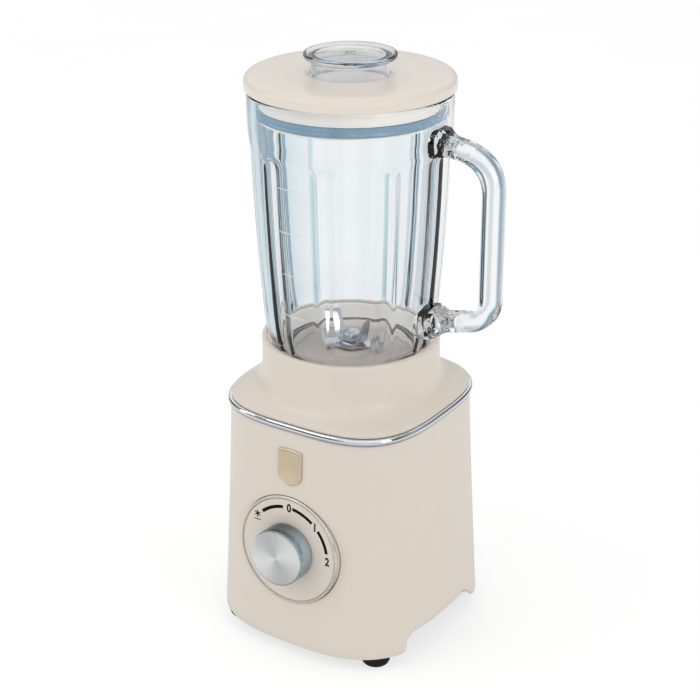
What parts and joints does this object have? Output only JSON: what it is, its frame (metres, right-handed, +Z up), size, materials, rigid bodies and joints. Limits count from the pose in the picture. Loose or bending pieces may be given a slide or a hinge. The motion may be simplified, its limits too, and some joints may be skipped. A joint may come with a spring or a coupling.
{
  "type": "countertop blender",
  "caption": "Rounded-square motor base with a round dial and a collar, holding a fluted glass jug with a handle, a blade unit, and a lid with a clear measuring cap.",
  "frame": {"origin": "on the worktop, under the middle of the whole object's box; the axis of the jug stands at x = -15.5 mm, y = 5.3 mm", "axes": "+Z up along the jug; -Y out of the front, where the dial is; +X towards the jug's handle"},
  "size_m": [0.1931, 0.1783, 0.4051],
  "materials": {
    "cream_plastic": "satin moulded cream",
    "chrome": "bright plated",
    "spun_aluminium": "spun face, turned side",
    "gold": "pale gold foil",
    "rubber": "matt black",
    "jug_glass": "clear pressed glass",
    "clear_plastic": "clear moulded",
    "seal": "translucent blue-grey silicone",
    "grey_plastic": "matt warm grey",
    "black_plastic": "matt black",
    "steel": "ground stainless",
    "lamination": "oiled steel laminations",
    "copper": "varnished copper wire",
    "bronze": "sintered bronze",
    "carbon": "carbon graphite"
  },
  "bodies": {
    "base": {"housing": "cream_plastic", "top_cover": "cream_plastic", "trim_ring": "chrome", "base_plate": "black_plastic", "foot_front_left": "rubber", "foot_front_right": "rubber", "foot_rear_left": "rubber", "foot_rear_right": "rubber", "case_screw_front_left": "steel", "case_screw_front_right": "steel", "case_screw_rear_left": "steel", "case_screw_rear_right": "steel", "motor_screw_front_left": "steel", "motor_screw_front_right": "steel", "motor_screw_rear_left": "steel", "motor_screw_rear_right": "steel", "cord_gland": "black_plastic", "badge": "gold", "well_seal": "rubber", "dial_plate": "cream_plastic", "dial_ring": "gold", "switch_body": "black_plastic", "switch_nut": "steel", "motor_plate": "lamination", "lower_bridge": "black_plastic", "stator": "lamination", "field_coil_front": "copper", "field_coil_rear": "copper", "field_bolt_left": "steel", "field_bolt_right": "steel", "carbon_brush_left": "carbon", "carbon_brush_right": "carbon", "upper_bearing": "steel", "lower_bearing": "steel"},
    "control_knob": {"knob": "spun_aluminium", "knob_shaft": "steel"},
    "rotor": {"motor_shaft": "steel", "armature": "lamination", "armature_winding_upper": "copper", "armature_winding_lower": "copper", "commutator": "copper", "cooling_fan": "black_plastic", "drive_coupling": "rubber"},
    "jug_unit": {"jug": "jug_glass", "jug_base_ring": "grey_plastic", "jug_gasket": "rubber", "blade_holder": "grey_plastic", "blade_bush": "bronze"},
    "blade_unit": {"blade_shaft": "steel", "blade_lower": "steel", "blade_upper": "steel", "blade_nut": "steel", "driven_coupling": "black_plastic"},
    "lid_unit": {"lid": "cream_plastic", "lid_seal": "seal"},
    "cap": {"measuring_cap": "clear_plastic"}
  },
  "joints": [
    {"name": "knob_turn", "type": "hinge", "parent": "base", "child": "control_knob", "pos_m": [-0.0155, -0.07288, 0.0813], "axis": [0, 0.9982, -0.0593], "range_deg": [-50, 90]},
    {"name": "motor_spin", "type": "hinge", "parent": "base", "child": "rotor", "pos_m": [-0.0155, 0.0053, 0.0933], "axis": [0, 0, 1], "continuous": true},
    {"name": "jug_lift", "type": "slide", "parent": "base", "child": "jug_unit", "axis": [0, 0, 1], "range_m": [0, 0.08]},
    {"name": "blade_spin", "type": "hinge", "parent": "jug_unit", "child": "blade_unit", "pos_m": [-0.0155, 0.0053, 0.2033], "axis": [0, 0, 1], "continuous": true},
    {"name": "lid_lift", "type": "slide", "parent": "jug_unit", "child": "lid_unit", "axis": [0, 0, 1], "range_m": [0, 0.05]},
    {"name": "cap_lift", "type": "slide", "parent": "lid_unit", "child": "cap", "axis": [0, 0, 1], "range_m": [0, 0.05]}
  ],
  "couplings": [
    {"joint": "blade_spin", "follows": "motor_spin", "ratio": 1}
  ]
}
